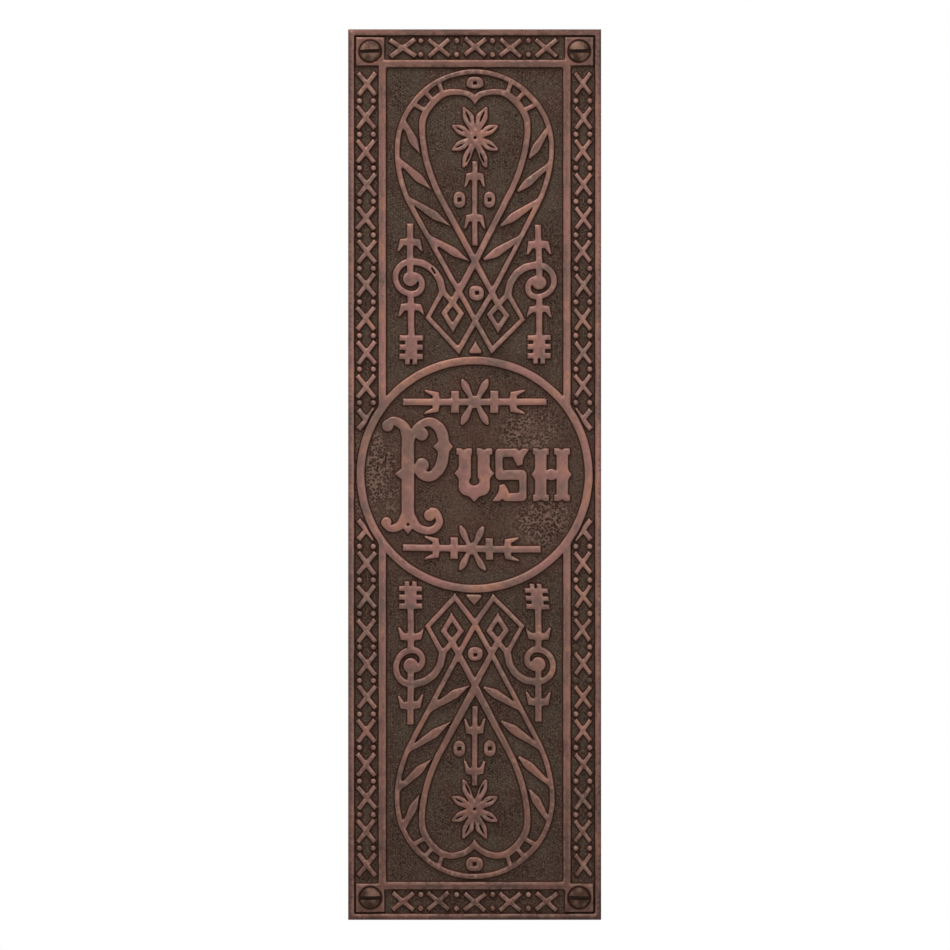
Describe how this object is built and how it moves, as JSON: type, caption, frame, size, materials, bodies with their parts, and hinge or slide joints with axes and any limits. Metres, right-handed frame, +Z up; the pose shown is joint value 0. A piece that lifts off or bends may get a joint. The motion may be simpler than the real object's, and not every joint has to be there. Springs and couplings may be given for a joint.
{
  "type": "door finger plate",
  "caption": "Long flat cast finger plate for a door, with raised interlaced ornament inside a border, a ring in the middle and a countersunk screw in each corner.",
  "frame": {"origin": "middle of the flat back face, which lies on the door", "axes": "+Y out of the back, into the door; +Z up along the height; X across the width, so the ornament faces -Y"},
  "size_m": [0.0762, 0.0199, 0.2682],
  "materials": {
    "plate": "cast, dark patina in the sunk ground, worn to copper brown on the raised ornament",
    "screws": "turned, aged to dark brown"
  },
  "bodies": {
    "root": {"finger_plate": "plate", "fixing_screws": "screws"}
  },
  "joints": []
}
